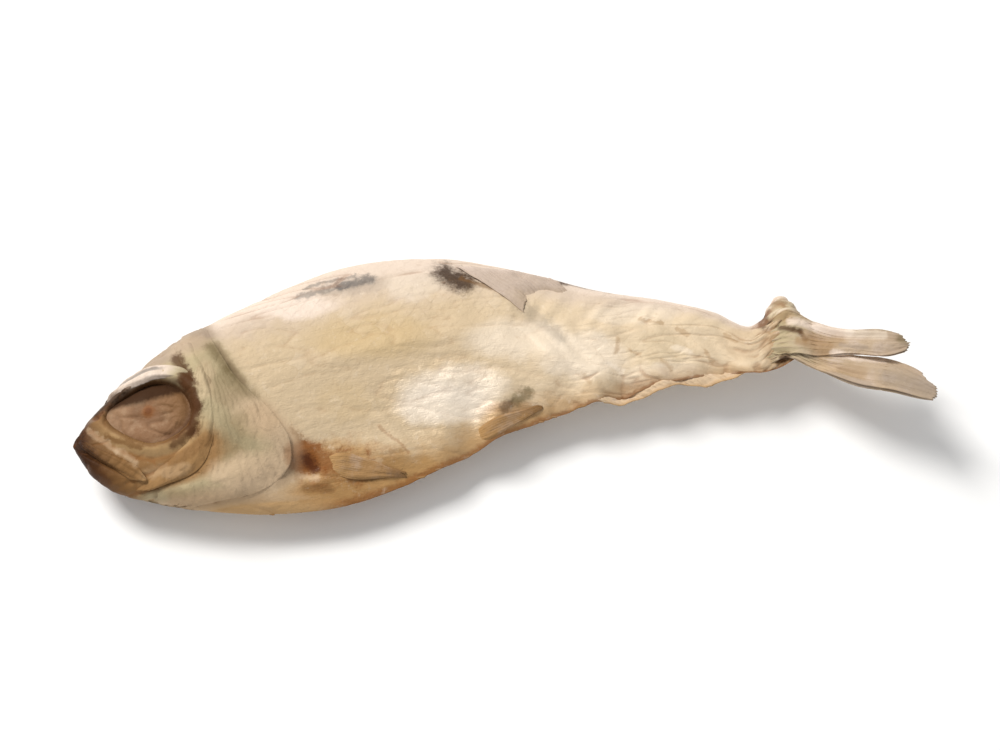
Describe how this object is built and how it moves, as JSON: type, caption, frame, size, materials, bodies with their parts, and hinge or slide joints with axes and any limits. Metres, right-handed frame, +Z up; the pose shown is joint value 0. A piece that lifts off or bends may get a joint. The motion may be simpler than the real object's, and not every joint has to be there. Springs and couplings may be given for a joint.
{
  "type": "dried sardine",
  "caption": "Whole small dried sardine with head, folded fins and forked tail, lying flat on its right side with a silvery, wrinkled left flank up.",
  "frame": {"origin": "centre of the bounding box at its lowest level, on the surface that the fish lies on", "axes": "+X from the snout to the tail, +Y towards the back, +Z up, out of the left flank"},
  "size_m": [0.095, 0.03, 0.0103],
  "materials": {
    "dried_skin": "dry wrinkled fish skin, dull silver over beige, with a soft sheen"
  },
  "bodies": {
    "root": {"dried_sardine": "dried_skin"}
  },
  "joints": []
}
